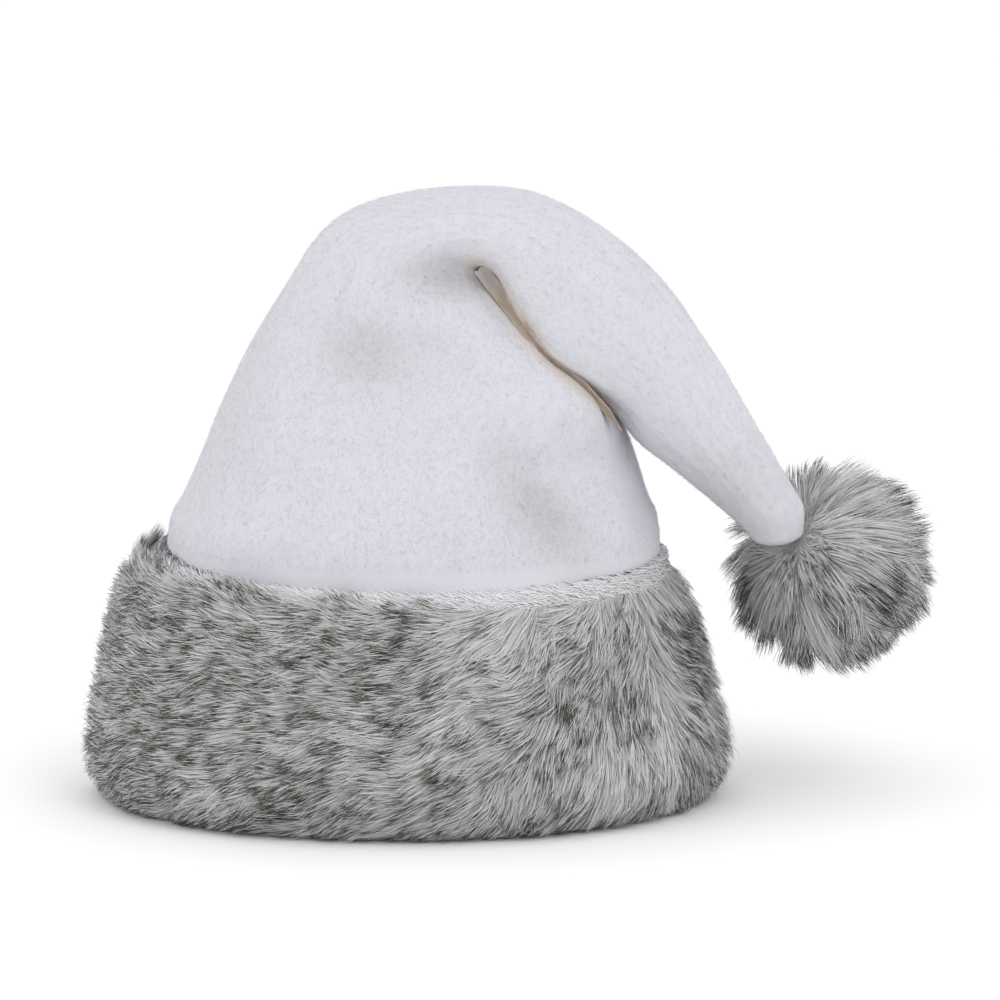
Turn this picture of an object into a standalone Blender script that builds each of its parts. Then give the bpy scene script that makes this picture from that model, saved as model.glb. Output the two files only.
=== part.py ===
"""A santa hat: a hollow plush crown whose long tail folds over to the right, a turned-up cuff of long
faux fur round its rim, and a fur pompom on the tail's tip. It stands on its cuff, with +X to the
tail's side, -Y to the front and +Z up. Run it with blender --background --python part.py."""

import math
import random
from collections import namedtuple

import bmesh
import bpy
from mathutils import Matrix, Vector

MM = 0.001

# Crown
WALL = 3.0
SIDES = 36
HEM_HEIGHT = 8.0

# Cuff: a band of fur fabric turned up round the rim, with a short lip inside the crown
CUFF_GAP = 0.5
HEM_GAP = 0.8
CUFF_CREST = 112.0
BACK_RISE = 4.5
RIGHT_RISE = 1.0
LIP_THICKNESS = 2.8
LIP_HEIGHT = 26.0

# Locks of fur on the cuff, in rows
LOCK_ROWS = 5
LOCKS_ROUND = 16
LOW_ROW = 0.20
TOP_ROW = 0.80
LOWEST_TIP = 0.04
LOCK_LENGTH = 54.0
LOCK_WIDTH = 9.4
LOCK_THICKNESS = 5.4
LOCK_LIFT = 3.4

# Pompom: a head with locks all over, but for the side where the tail's tip is seated
POMPOM_CENTRE = Vector((186.2, 13.0, 101.5))
POMPOM_HEAD = 38.5
POMPOM_REACH = 50.5
POMPOM_LOCKS = 60
POMPOM_LOCK_WIDTH = 9.6
POMPOM_BEND = 0.22
TAIL_CLEARANCE = 40.0
SEAT_GAP = 0.6

# The object's box is centred on the origin, which lies this far from the rim's centre
ORIGIN_X = 44.85
ORIGIN_Y = -0.5

SEED = 19

# The crown's sections, in millimetres, from the rim up, over the fold and down the tail. Each is an
# oval whose plane holds the Y axis: its inner end faces the fold, its outer end the hat's back edge.
# Fullness is 2 for an ellipse and more for a boxier oval, inner fullness is that of the end which
# faces the fold, and lean moves the section along Y.
Section = namedtuple(
    "Section", "place inner_x inner_z outer_x outer_z half_depth fullness inner_fullness lean"
)
SECTIONS = [
    Section("hem", 114.5, 8.0, -114.5, 8.0, 84.0, 2.0, 2.0, 0.0),
    Section("inside the cuff", 114.0, 56.0, -111.0, 56.0, 83.5, 2.0, 2.0, 0.0),
    Section("cuff top", 111.3, 118.0, -104.5, 118.0, 82.0, 2.0, 2.0, 0.0),
    Section("lower body", 107.2, 133.0, -98.3, 133.0, 80.5, 2.05, 2.05, 0.0),
    Section("body", 102.3, 149.0, -91.2, 149.5, 78.0, 2.1, 2.1, 0.0),
    Section("shoulder", 97.0, 161.5, -84.5, 165.5, 75.0, 2.15, 2.3, 0.5),
    Section("below the crease", 87.5, 177.0, -76.5, 182.5, 71.5, 2.2, 4.0, 1.0),
    Section("upper body", 75.0, 190.5, -68.0, 200.0, 67.5, 2.25, 6.0, 2.0),
    Section("high body", 61.5, 201.5, -59.0, 216.0, 63.0, 2.3, 8.0, 2.5),
    Section("near the fold", 50.0, 216.5, -49.8, 231.0, 58.5, 2.3, 8.0, 2.5),
    Section("fold, lower left", 41.2, 229.0, -40.5, 245.5, 54.5, 2.3, 6.5, 2.5),
    Section("fold, left", 36.6, 235.0, -28.5, 256.7, 51.0, 2.25, 5.0, 2.0),
    Section("fold", 35.0, 237.4, -11.0, 264.0, 48.5, 2.2, 3.5, 0.0),
    Section("fold, right", 35.2, 239.0, 10.0, 268.4, 46.5, 2.2, 3.5, -3.5),
    Section("tail's root", 37.0, 239.2, 31.0, 270.2, 44.5, 2.2, 4.0, -7.5),
    Section("over the top", 40.4, 235.4, 52.5, 268.9, 42.5, 2.2, 6.0, -11.0),
    Section("start of the tail", 45.6, 227.4, 70.8, 262.5, 41.0, 2.2, 8.0, -14.0),
    Section("upper tail", 51.6, 217.1, 87.0, 253.3, 39.5, 2.2, 8.0, -15.5),
    Section("tail", 63.1, 202.6, 102.0, 242.0, 37.5, 2.2, 6.5, -16.5),
    Section("tail, widest", 76.6, 191.6, 116.2, 227.0, 35.0, 2.15, 4.5, -17.0),
    Section("tail, middle", 88.5, 177.0, 128.0, 209.3, 32.0, 2.1, 2.4, -17.0),
    Section("lower tail", 101.0, 161.6, 139.8, 190.8, 28.5, 2.05, 2.05, -16.5),
    Section("tail, thinner", 114.0, 151.0, 150.3, 172.8, 25.0, 2.0, 2.0, -15.5),
    Section("above the waist", 125.5, 141.3, 159.4, 157.4, 21.5, 2.0, 2.0, -14.0),
    Section("waist", 136.8, 131.5, 167.8, 143.0, 18.5, 2.0, 2.0, -13.0),
    Section("tip", 145.5, 123.6, 174.5, 131.5, 16.0, 2.0, 2.0, -12.5),
    Section("end", 151.0, 117.8, 174.5, 121.3, 11.5, 2.0, 2.0, -12.0),
]
TAIL_END = Vector((164.5, -12.0, 114.0))

# Soft dents in the crown's front, in millimetres: where, how far each reaches, and how deep
Dent = namedtuple("Dent", "place x z reach_x reach_z depth")
DENTS = [
    Dent("left of the middle", -16.0, 210.0, 19.0, 13.0, 5.5),
    Dent("low on the right", 64.0, 134.0, 13.0, 22.0, 5.5),
    Dent("where the crease runs out", 14.0, 242.5, 21.0, 8.0, 8.0),
]

# The outer face of the cuff's backing, in millimetres, from the rim up
Face = namedtuple("Face", "place centre_x half_width half_depth z")
CUFF_FACE = [
    Face("bottom edge", 0.5, 133.0, 98.5, 0.0),
    Face("corner", 0.5, 140.0, 105.0, 6.0),
    Face("belly", 0.5, 142.0, 107.0, 18.0),
    Face("lower side", 0.2, 140.0, 105.5, 34.0),
    Face("side", -0.4, 136.0, 102.5, 52.0),
    Face("upper side", -1.2, 131.6, 98.5, 70.0),
    Face("below the roll", -1.8, 126.0, 94.0, 89.0),
    Face("roll", -1.2, 120.8, 89.8, 104.5),
    Face("crest", 2.0, 114.0, 85.5, CUFF_CREST),
]

# Which way the fur is combed, by the turn from +X round towards the back, both in degrees. A heading
# of 0 runs along the turn, 90 up, 180 against the turn and 270 down. The fur parts near the right
# end of the front and runs from there leftwards round the front and rightwards to the back seam.
Comb = namedtuple("Comb", "turn heading")
COMBING = [
    Comb(0.0, 302.0),
    Comb(45.0, 330.0),
    Comb(80.0, 340.0),
    Comb(110.0, 270.0),
    Comb(140.0, 205.0),
    Comb(180.0, 190.0),
    Comb(262.0, 190.0),
    Comb(291.0, 215.0),
    Comb(318.0, 238.0),
    Comb(330.0, 288.0),
    Comb(345.0, 300.0),
    Comb(360.0, 302.0),
]


def clear_scene():
    for obj in list(bpy.data.objects):
        bpy.data.objects.remove(obj)


def material(name, colour, roughness, sheen):
    made = bpy.data.materials.new(name)
    made.use_nodes = True
    shader = made.node_tree.nodes["Principled BSDF"]
    shader.inputs["Base Color"].default_value = (*colour, 1.0)
    shader.inputs["Roughness"].default_value = roughness
    shader.inputs["Metallic"].default_value = 0.0
    shader.inputs["Sheen Weight"].default_value = sheen
    return made


def collection(name):
    made = bpy.data.collections.new(name)
    bpy.context.scene.collection.children.link(made)
    return made


def blend(low, high, share):
    return low + (high - low) * share


def circle(bm, sides):
    return bmesh.ops.create_circle(bm, segments=sides, radius=1.0)["verts"]


def oval(bm, sides, centre, across, depth, fullness=2.0, inner_fullness=2.0):
    """A loop of vertices round the centre, squared off where fullness is over 2. Inner fullness
    holds on the half that across points to."""
    verts = circle(bm, sides)
    for vert in verts:
        power = 2.0 / (inner_fullness if vert.co.x > 0.0 else fullness)
        for axis in (0, 1):
            vert.co[axis] = math.copysign(abs(vert.co[axis]) ** power, vert.co[axis])
        vert.co = centre + across * vert.co.x + depth * vert.co.y
    return verts


def loft(bm, rings, closed=False):
    """Skins each loop to the next with quads, and the last to the first if closed."""
    pairs = list(zip(rings, rings[1:]))
    if closed:
        pairs.append((rings[-1], rings[0]))
    for low, high in pairs:
        for index, vert in enumerate(low):
            bm.faces.new((low[index - 1], vert, high[index], high[index - 1]))


def point(bm, ring, place):
    """Closes a loop with triangles that meet at the place."""
    apex = bm.verts.new(place)
    for index, vert in enumerate(ring):
        bm.faces.new((ring[index - 1], vert, apex))


def made_object(bm, name, paint, home, smooth_angle=50.0):
    """Makes the bmesh an object, in metres from the model's origin, its faces pointing outwards."""
    loose = [edge for edge in bm.edges if not edge.link_faces]
    bmesh.ops.delete(bm, geom=loose, context="EDGES_FACES")
    bmesh.ops.recalc_face_normals(bm, faces=bm.faces)
    place = Matrix.Scale(MM, 4) @ Matrix.Translation((-ORIGIN_X, -ORIGIN_Y, 0.0))
    bmesh.ops.transform(bm, matrix=place, verts=bm.verts)
    mesh = bpy.data.meshes.new(name)
    bm.to_mesh(mesh)
    bm.free()
    mesh.materials.append(paint)
    mesh.shade_smooth()
    mesh.set_sharp_from_angle(angle=math.radians(smooth_angle))
    obj = bpy.data.objects.new(name, mesh)
    home.objects.link(obj)
    return obj


def cutter_object(bm, name, paint, home):
    """An object that only a Boolean reads."""
    made = made_object(bm, name, paint, home)
    made.hide_render = True
    made.display_type = "WIRE"
    return made


def section_ring(bm, section, grown=0.0, shift=Vector()):
    """A section's loop, grown by a margin in its plane and shifted."""
    inner = Vector((section.inner_x, 0.0, section.inner_z))
    outer = Vector((section.outer_x, 0.0, section.outer_z))
    across = (inner - outer) / 2.0
    across += across.normalized() * grown
    centre = (inner + outer) / 2.0 + Vector((0.0, section.lean, 0.0)) + shift
    depth = Vector((0.0, section.half_depth + grown, 0.0))
    return oval(bm, SIDES, centre, across, depth, section.fullness, section.inner_fullness)


def press_dents(verts):
    """Pushes the front of the cloth back at each dent."""
    for vert in verts:
        front = min(max(-vert.co.y / 30.0, 0.0), 1.0)
        for dent in DENTS:
            far = ((vert.co.x - dent.x) / dent.reach_x) ** 2 + ((vert.co.z - dent.z) / dent.reach_z) ** 2
            vert.co.y += dent.depth * front * math.exp(-far)


def build_crown(home, paint):
    """One sewn shell: the outer face is lofted through the sections and closed at the tail's tip,
    and Solidify gives it the cloth's thickness inwards."""
    bm = bmesh.new()
    rings = [section_ring(bm, section) for section in SECTIONS]
    loft(bm, rings)
    point(bm, rings[-1], TAIL_END)
    press_dents(bm.verts)
    crown = made_object(bm, "crown", paint, home)
    cloth = crown.modifiers.new("Cloth thickness", "SOLIDIFY")
    cloth.thickness = WALL * MM
    cloth.offset = -1.0
    cloth.use_even_offset = True
    return crown


def crown_oval(z):
    """The crown's centre x, half width and half depth at a height inside the cuff."""
    low, high = SECTIONS[0], SECTIONS[1]
    if z > high.inner_z:
        low, high = SECTIONS[1], SECTIONS[2]
    share = (z - low.inner_z) / (high.inner_z - low.inner_z)
    inner = blend(low.inner_x, high.inner_x, share)
    outer = blend(low.outer_x, high.outer_x, share)
    return (inner + outer) / 2.0, (inner - outer) / 2.0, blend(low.half_depth, high.half_depth, share)


def risen(z, cosine, sine):
    """The cuff's edge stands higher at the back and the right than at the front and the left."""
    return z + (BACK_RISE * sine + RIGHT_RISE * cosine) * (z / CUFF_CREST) ** 2


def beside_crown(bm, z, offset):
    """A loop that follows the crown's outer face inside the cuff, offset outwards."""
    verts = circle(bm, SIDES)
    for vert in verts:
        height = risen(z, vert.co.x, vert.co.y) if z > LIP_HEIGHT else z
        centre, width, depth = crown_oval(height)
        vert.co = Vector((centre + (width + offset) * vert.co.x, (depth + offset) * vert.co.y, height))
    return verts


def on_face(turn, share):
    """A point on the cuff's outer face: share runs from 0 at the rim to 1 at the crest."""
    place = min(max(share, 0.0), 1.0) * (len(CUFF_FACE) - 1)
    low = min(int(place), len(CUFF_FACE) - 2)
    below, above = CUFF_FACE[low], CUFF_FACE[low + 1]
    centre, width, depth, z = (blend(a, b, place - low) for a, b in zip(below[1:], above[1:]))
    cosine, sine = math.cos(turn), math.sin(turn)
    return Vector((centre + width * cosine, depth * sine, risen(z, cosine, sine)))


def face_frame(turn, share):
    """Place, outward normal, direction round the cuff and direction up it."""
    step = 0.01
    here = on_face(turn, share)
    around = (on_face(turn + step, share) - here).normalized()
    upward = on_face(turn, share + step) - here
    upward = (upward - around * upward.dot(around)).normalized()
    return here, around.cross(upward).normalized(), around, upward


def combed(turn):
    """The heading of the fur at a turn, in radians."""
    degrees = math.degrees(turn) % 360.0
    for low, high in zip(COMBING, COMBING[1:]):
        if degrees <= high.turn:
            share = (degrees - low.turn) / (high.turn - low.turn)
            return math.radians(blend(low.heading, high.heading, share))
    return math.radians(COMBING[-1].heading)


Station = namedtuple("Station", "centre along outward width thickness")


def lock(bm, stations):
    """A tapering lock of fur with four sides: a loop at each station and a point at the last."""
    rings = []
    for station in stations[:-1]:
        side = station.along.cross(station.outward).normalized()
        up = side.cross(station.along).normalized()
        rings.append(oval(bm, 4, station.centre, side * station.width, up * station.thickness))
    loft(bm, rings)
    bm.faces.new(rings[0])
    point(bm, rings[-1], stations[-1].centre)


def cuff_lock(turn, share, length, width, thickness):
    """A lock that starts in the backing and follows the combing, its tip standing off the face."""
    stations = []
    radius = (CUFF_FACE[2].half_width + CUFF_FACE[2].half_depth) / 2.0
    fall = -math.sin(combed(turn)) * length / CUFF_CREST
    length *= min(1.0, (share - LOWEST_TIP) / max(fall, 0.001))
    for part, taper in ((0.0, 0.9), (0.5, 0.95), (1.0, 0.0)):
        here, normal, around, upward = face_frame(turn, share)
        along = around * math.cos(combed(turn)) + upward * math.sin(combed(turn))
        centre = here + normal * blend(-thickness * 0.3, LOCK_LIFT, part)
        centre.z = max(centre.z, width + 2.0)
        stations.append(Station(centre, along, normal, width * taper, thickness * taper))
        turn += math.cos(combed(turn)) * length / 2.0 / radius
        share += math.sin(combed(turn)) * length / 2.0 / CUFF_CREST
        share = min(max(share, LOWEST_TIP), TOP_ROW + 0.05)
    return stations


def cuff_locks(rng):
    """Overlapping locks in staggered rows all round the cuff."""
    found = []
    for row in range(LOCK_ROWS):
        share = blend(LOW_ROW, TOP_ROW, row / (LOCK_ROWS - 1))
        for number in range(LOCKS_ROUND):
            turn = 2.0 * math.pi * (number + 0.5 * (row % 2) + rng.uniform(-0.2, 0.2)) / LOCKS_ROUND
            length = LOCK_LENGTH * rng.uniform(0.85, 1.15)
            width = LOCK_WIDTH * rng.uniform(0.85, 1.2)
            thickness = LOCK_THICKNESS * rng.uniform(0.85, 1.1)
            found.append(cuff_lock(turn, share + rng.uniform(-0.03, 0.03), length, width, thickness))
    return found


def pompom_lock(direction, rng):
    """A lock that leaves the head along the direction and bends away from the tail."""
    tail = (TAIL_END - POMPOM_CENTRE).normalized()
    away = (direction * direction.dot(tail) - tail).normalized()
    reach = POMPOM_REACH * rng.uniform(0.96, 1.03)
    width = POMPOM_LOCK_WIDTH * rng.uniform(0.9, 1.15)
    stations = []
    for part, taper in ((0.0, 1.0), (0.5, 0.85), (1.0, 0.0)):
        way = (direction + away * POMPOM_BEND * part * part).normalized()
        centre = POMPOM_CENTRE + way * blend(POMPOM_HEAD * 0.85, reach, part)
        stations.append(Station(centre, way, way.orthogonal(), width * taper, width * taper))
    return stations


def pompom_locks(rng):
    """Locks spread evenly over the head on a spiral, and left out round the tail's tip."""
    found = []
    tail = (TAIL_END - POMPOM_CENTRE).normalized()
    golden = math.pi * (3.0 - math.sqrt(5.0))
    for number in range(POMPOM_LOCKS):
        height = 1.0 - 2.0 * (number + 0.5) / POMPOM_LOCKS
        radius = math.sqrt(1.0 - height * height)
        direction = Vector((radius * math.cos(golden * number), radius * math.sin(golden * number), height))
        if direction.angle(tail) > math.radians(TAIL_CLEARANCE):
            found.append(pompom_lock(direction, rng))
    return found


def fuse_locks(backing, locks, paint, home):
    """Joins the locks with their backing in one body. Each lock is an object of its own in the
    collection that the Boolean reads."""
    for number, stations in enumerate(locks):
        bm = bmesh.new()
        lock(bm, stations)
        cutter_object(bm, f"{backing.name} lock {number}", paint, home)
    fused = backing.modifiers.new("Fused locks", "BOOLEAN")
    fused.operation = "UNION"
    fused.operand_type = "COLLECTION"
    fused.collection = home
    fused.solver = "EXACT"


def build_cuff(home, paint):
    """The fur band: a face outside, a roll at the top, a flat bottom under the crown's hem and a
    short lip inside it."""
    bm = bmesh.new()
    lip = -WALL - CUFF_GAP
    rings = [
        beside_crown(bm, LIP_HEIGHT, lip - LIP_THICKNESS),
        beside_crown(bm, LIP_THICKNESS, lip - LIP_THICKNESS),
        beside_crown(bm, 0.0, lip),
    ]
    for number in range(len(CUFF_FACE)):
        verts = circle(bm, SIDES)
        for vert in verts:
            vert.co = on_face(math.atan2(vert.co.y, vert.co.x), number / (len(CUFF_FACE) - 1))
        rings.append(verts)
    rings += [
        beside_crown(bm, CUFF_CREST - 4.0, CUFF_GAP),
        beside_crown(bm, SECTIONS[1].inner_z, CUFF_GAP),
        beside_crown(bm, HEM_HEIGHT - HEM_GAP, CUFF_GAP),
        beside_crown(bm, HEM_HEIGHT - HEM_GAP, lip),
        beside_crown(bm, LIP_HEIGHT, lip),
    ]
    loft(bm, rings, closed=True)
    return made_object(bm, "cuff", paint, home, smooth_angle=40.0)


def build_pompom(home, paint):
    bm = bmesh.new()
    place = Matrix.Translation(POMPOM_CENTRE)
    bmesh.ops.create_icosphere(bm, subdivisions=3, radius=POMPOM_HEAD, matrix=place)
    return made_object(bm, "pompom", paint, home)


def seat_tail(pompom, home, paint):
    """Hollows the pompom where the tail's tip is seated, with a small gap all round."""
    bm = bmesh.new()
    onward = (TAIL_END - Vector((SECTIONS[-3].inner_x, TAIL_END.y, SECTIONS[-3].outer_z))).normalized()
    rings = []
    for number, section in enumerate(SECTIONS[-5:]):
        rings.append(section_ring(bm, section, SEAT_GAP, onward * SEAT_GAP * number / 4.0))
    loft(bm, rings)
    bm.faces.new(rings[0])
    point(bm, rings[-1], TAIL_END + onward * SEAT_GAP * 1.4)
    seat = cutter_object(bm, "Tail seat", paint, home)
    cut = pompom.modifiers.new("Tail's seat", "BOOLEAN")
    cut.operation = "DIFFERENCE"
    cut.object = seat
    cut.solver = "EXACT"


def main():
    clear_scene()
    rng = random.Random(SEED)
    parts = collection("Santa hat")
    cuff_fur = collection("Cuff locks")
    pompom_fur = collection("Pompom locks")
    cutters = collection("Cutters")
    plush = material("White plush", (0.86, 0.86, 0.88), 0.9, 0.4)
    fur = material("Frosted grey fur", (0.42, 0.42, 0.41), 0.85, 0.2)
    build_crown(parts, plush)
    cuff = build_cuff(parts, fur)
    fuse_locks(cuff, cuff_locks(rng), fur, cuff_fur)
    pompom = build_pompom(parts, fur)
    seat_tail(pompom, cutters, fur)
    fuse_locks(pompom, pompom_locks(rng), fur, pompom_fur)


main()
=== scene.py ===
# %% [markdown]
# # A santa hat with a faux fur cuff
# The real hat is three soft things: a cone of short white plush whose long end has folded over to
# the right, a band of long frosted fur turned up round its rim, and a ball of the same fur on the
# tip. Plush and fur are thousands of hairs, so a smooth skin with a hair texture never looks right
# at its edge. Here each piece is a plain cloth skin with real hairs standing on it.

import math

import bmesh
import bpy
import numpy as np
from mathutils import Matrix, Vector
from mathutils.kdtree import KDTree


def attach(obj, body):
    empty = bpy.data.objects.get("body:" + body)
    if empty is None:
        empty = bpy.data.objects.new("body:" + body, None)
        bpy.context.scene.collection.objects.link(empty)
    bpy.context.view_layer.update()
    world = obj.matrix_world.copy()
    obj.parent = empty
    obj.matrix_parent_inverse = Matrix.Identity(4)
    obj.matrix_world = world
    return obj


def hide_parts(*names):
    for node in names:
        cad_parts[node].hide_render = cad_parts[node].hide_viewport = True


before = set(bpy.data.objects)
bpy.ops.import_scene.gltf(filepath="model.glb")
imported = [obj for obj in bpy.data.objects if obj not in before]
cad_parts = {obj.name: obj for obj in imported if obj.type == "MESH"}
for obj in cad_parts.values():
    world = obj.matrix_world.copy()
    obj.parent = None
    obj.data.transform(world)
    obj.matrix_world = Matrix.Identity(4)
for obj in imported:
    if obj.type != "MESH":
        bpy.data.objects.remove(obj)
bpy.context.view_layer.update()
MM = 0.001
RIM_CENTRE = np.array((-44.85, 0.5, 0.0))

# %% [markdown]
# ## Camera and light
# The photograph looks down on the hat by about ten degrees, from far enough away that the near and
# the far side of the cuff look nearly the same size. A long lens three metres off gives that.

# %% Camera
PICTURE_WIDTH = 1000
PIXEL = 0.00044
VIEW_RIGHT = 94 * PIXEL
VIEW_HEIGHT = 0.1316
CAMERA_DISTANCE = 3.0
CAMERA_TILT = math.radians(10.5)
SENSOR = 36.0
scene = bpy.context.scene
target = Vector((VIEW_RIGHT + RIM_CENTRE[0] * MM, 0.0, VIEW_HEIGHT))
camera = bpy.data.objects.new("camera", bpy.data.cameras.new("camera"))
camera.data.sensor_width = SENSOR
camera.data.lens = SENSOR * CAMERA_DISTANCE / (PICTURE_WIDTH * PIXEL)
towards_camera = Vector((0, -math.cos(CAMERA_TILT), math.sin(CAMERA_TILT)))
camera.location = target + CAMERA_DISTANCE * towards_camera
camera.rotation_euler = (math.pi / 2 - CAMERA_TILT, 0, 0)
scene.collection.objects.link(camera)
scene.camera = camera
scene.view_settings.view_transform = "Standard"
print("lens", round(camera.data.lens, 1), "mm")

# %% [markdown]
# The photograph has hardly a shadow. So nearly all the light is a pale sky, and two large soft
# panels only round the form a little.

# %% Light
MIDDLE_OF_HAT = Vector((0, 0, 0.12))
PANEL_SIZE = 1.2
SKY_COLOUR = (0.98, 0.985, 1, 1)
SKY_STRENGTH = 1.06


def soft_panel(name, place, power):
    """A square lamp that faces the hat."""
    lamp = bpy.data.lights.new(name, "AREA")
    lamp.size = PANEL_SIZE
    lamp.energy = power
    panel = bpy.data.objects.new(name, lamp)
    panel.location = place
    panel.rotation_euler = (MIDDLE_OF_HAT - Vector(place)).to_track_quat("-Z", "Y").to_euler()
    scene.collection.objects.link(panel)


soft_panel("key panel", (0.9, -1.3, 1.9), 8)
soft_panel("left panel", (-1.6, -0.9, 1.0), 3)
sky = bpy.data.worlds.new("sky")
scene.world = sky
sky.use_nodes = True
sky.node_tree.nodes["Background"].inputs["Color"].default_value = SKY_COLOUR
sky.node_tree.nodes["Background"].inputs["Strength"].default_value = SKY_STRENGTH
print("lamps:", [lamp.name for lamp in bpy.data.lights])

# %% [markdown]
# ## A small language for materials
# A material is a tree of nodes. Writing the tree link by link hides the idea, so one class wraps a
# socket and lets Python's own signs add the Math nodes, and one method makes every other node.

# %% Wires and finishes


class Wire:
    """A socket on which + - * / and a few named steps add Math nodes."""

    def __init__(self, finish, socket):
        self.finish = finish
        self.socket = socket

    def math(self, operation, *values, clamp=False):
        settings = {"operation": operation, "use_clamp": clamp}
        return self.finish.node("ShaderNodeMath", settings, dict(enumerate(values)))

    def __add__(self, other):
        return self.math("ADD", self, other)

    def __sub__(self, other):
        return self.math("SUBTRACT", self, other)

    def __rsub__(self, other):
        return self.math("SUBTRACT", other, self)

    def __mul__(self, other):
        return self.math("MULTIPLY", self, other)

    def __truediv__(self, other):
        return self.math("DIVIDE", self, other)

    __radd__ = __add__
    __rmul__ = __mul__

    def clamped(self):
        return self.math("ADD", self, 0.0, clamp=True)

    def sine(self):
        return self.math("SINE", self)

    def eased(self, low, high):
        """0 below low, 1 above high, and an S curve between them."""
        settings = {"interpolation_type": "SMOOTHSTEP"}
        return self.finish.node("ShaderNodeMapRange", settings, {0: self, 1: low, 2: high})


class Finish:
    """A material under construction."""

    def __init__(self, name, **constants):
        self.material = bpy.data.materials.new(name)
        self.material.use_nodes = True
        self.tree = self.material.node_tree
        self.shader = self.tree.nodes["Principled BSDF"]
        for socket, value in constants.items():
            self.shader.inputs[socket.replace("_", " ")].default_value = value

    def plug(self, socket, value):
        """Links a wire to a socket, or sets a plain value on it."""
        if isinstance(value, Wire):
            self.tree.links.new(value.socket, socket)
        else:
            socket.default_value = value

    def node(self, kind, settings=None, inputs=None, output=0):
        made = self.tree.nodes.new(kind)
        for setting, value in (settings or {}).items():
            setattr(made, setting, value)
        for key, value in (inputs or {}).items():
            self.plug(made.inputs[key], value)
        return Wire(self, made.outputs[output])

    def mix(self, share, first, second):
        """One colour turning into another."""
        settings = {"data_type": "RGBA", "clamp_factor": True}
        return self.node("ShaderNodeMix", settings, {0: share, 6: first, 7: second}, 2)

    def noise(self, place, scale):
        inputs = {"Vector": place, "Scale": scale, "Detail": 3.0, "Roughness": 0.5}
        return self.node("ShaderNodeTexNoise", None, inputs)

    def chart(self):
        """The two numbers that a hair mesh keeps for each point: tone, and place along the hair."""
        chart = self.node("ShaderNodeUVMap", {"uv_map": "OFBake"})
        tone = self.node("ShaderNodeSeparateXYZ", None, {0: chart})
        return tone, Wire(self, tone.socket.node.outputs[1])

    def bump(self, height, strength, distance):
        inputs = {"Strength": strength, "Distance": distance, "Height": height}
        return self.node("ShaderNodeBump", None, inputs)

    def place(self):
        """The place on the piece, in metres."""
        return self.node("ShaderNodeTexCoord", output="Object")

    def set(self, **sockets):
        for name, value in sockets.items():
            self.plug(self.shader.inputs[name.replace("_", " ")], value)


# %% [markdown]
# ## Hairs
# A hair is a thin tapering ribbon of a few faces. Making them one at a time would take hours, so
# every hair of a coat is worked out at once in arrays, and one mesh holds them all. Each ribbon
# keeps two numbers in its UV map: its tone, and how far along it a point lies. The material reads
# its colour from those two alone, so every hair of a coat can share one small picture.

# %% Ribbons from arrays
# places along a hair, from root to tip, for the number of stations that it has
STATIONS = {
    2: (0.0, 1.0),
    3: (0.0, 0.5, 1.0),
    4: (0.0, 0.42, 0.8, 1.0),
    5: (0.0, 0.25, 0.55, 0.82, 1.0),
}
TAPER = (0.85, 1.0, 0.95, 0.8)
ROUNDING = 0.35
CHART_EDGE = 0.02
CHART_SPAN = 0.96
CHART_SIDE = 0.006
MEAN_RADIUS = 125.0


def unit(vectors):
    return vectors / np.maximum(np.linalg.norm(vectors, axis=-1, keepdims=True), 1e-12)


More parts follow.
